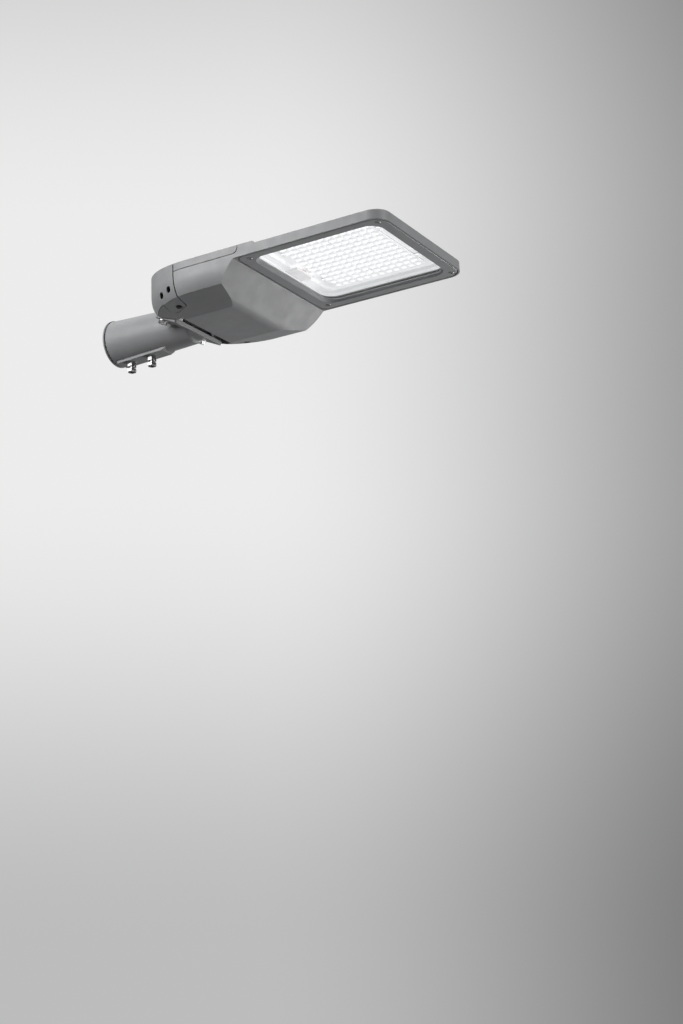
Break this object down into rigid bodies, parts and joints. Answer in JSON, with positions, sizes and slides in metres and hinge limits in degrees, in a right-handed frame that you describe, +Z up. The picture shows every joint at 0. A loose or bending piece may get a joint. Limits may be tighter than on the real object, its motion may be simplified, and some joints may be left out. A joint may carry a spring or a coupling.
{
  "type": "street light head",
  "caption": "LED street-light head: flat die-cast body with a square lit glass window, hinged gear lid, and a tilting spigot that clamps on a pole end.",
  "frame": {"origin": "centre of the spigot's mouth, on the axis of the pole end that slides into it", "axes": "+X from the mouth towards the nose of the head, +Z up, light shining down -Z, head level at rest"},
  "size_m": [0.578, 0.26, 0.1249],
  "materials": {
    "cast_grey": "fine-textured powder coat",
    "frame_grey": "fine-textured powder coat",
    "stainless": "bright stainless steel",
    "blackened": "blackened steel",
    "galvanised": "zinc plated",
    "glass": "toughened flat glass",
    "silicone": "foamed silicone",
    "lens_clear": "clear moulded optics",
    "board_white": "white solder mask",
    "white_plastic": "moulded",
    "gear_case": "moulded",
    "black_plastic": "moulded",
    "brass": "plain",
    "red_sleeve": "smooth sleeve",
    "black_sleeve": "smooth sleeve"
  },
  "bodies": {
    "adapter": {"adapter": "cast_grey", "lock_nuts": "stainless", "flange_bolts": "stainless", "flange_washers": "stainless", "tilt_bracket": "galvanised"},
    "front_clamp_screw": {"front_clamp_screw": "stainless"},
    "rear_clamp_screw": {"rear_clamp_screw": "stainless"},
    "head": {"housing": "cast_grey", "rear_cap": "cast_grey", "rear_cap_screws": "blackened", "pivot_bolts": "stainless", "stop_bolts": "stainless", "hinge_pins": "stainless", "cover_frame": "frame_grey", "cover_frame_screws": "stainless", "glass": "glass", "glass_seal": "silicone", "chamber_seal": "silicone", "lens_plate": "lens_clear", "led_board": "board_white", "board_screws": "white_plastic", "board_connector": "white_plastic", "lead_cover": "white_plastic", "red_lead": "red_sleeve", "black_lead": "black_sleeve", "gear_tray": "galvanised", "tray_screws": "stainless", "driver": "gear_case", "driver_screws": "stainless", "surge_protector": "black_plastic", "terminal_block": "white_plastic", "terminal_screws": "brass", "mains_leads": "black_sleeve", "cable_gland": "black_plastic", "gland_nut": "black_plastic", "lid_seal": "silicone"},
    "lid": {"lid": "cast_grey", "lid_screws": "stainless"}
  },
  "joints": [
    {"name": "head_tilt", "type": "hinge", "parent": "adapter", "child": "head", "pos_m": [0.172, 0, 0.0075], "axis": [0, -1, 0], "range_deg": [-10, 10]},
    {"name": "lid_hinge", "type": "hinge", "parent": "head", "child": "lid", "pos_m": [0.206, 0, 0.0655], "axis": [0, -1, 0], "range_deg": [0, 95]},
    {"name": "front_clamp", "type": "slide", "parent": "adapter", "child": "front_clamp_screw", "axis": [0, 0, 1], "range_m": [-0.008, 0.0013]},
    {"name": "rear_clamp", "type": "slide", "parent": "adapter", "child": "rear_clamp_screw", "axis": [0, 0, 1], "range_m": [-0.008, 0.0013]}
  ]
}
